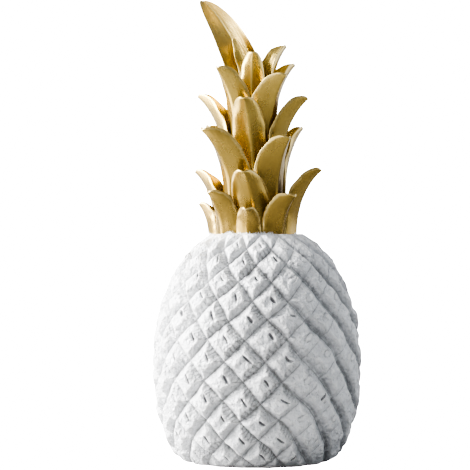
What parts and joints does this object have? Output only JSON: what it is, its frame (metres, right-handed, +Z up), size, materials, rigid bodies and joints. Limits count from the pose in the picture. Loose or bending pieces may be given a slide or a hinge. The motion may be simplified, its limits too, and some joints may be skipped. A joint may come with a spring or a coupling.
{
  "type": "pineapple figurine",
  "caption": "Tabletop pineapple figurine: a plump white body carved with diamond eyes under a gold crown of curved leaves, standing on a flat foot as a decoration.",
  "frame": {"origin": "centre of the flat foot, on the surface that the figurine stands on", "axes": "+Z up along the fruit, -Y towards the front seen in the picture, +X to the right of it"},
  "size_m": [0.0996, 0.0996, 0.2227],
  "materials": {
    "white_paint": "matte",
    "gold_paint": "satin"
  },
  "bodies": {
    "root": {"pineapple": "white_paint"}
  },
  "joints": []
}
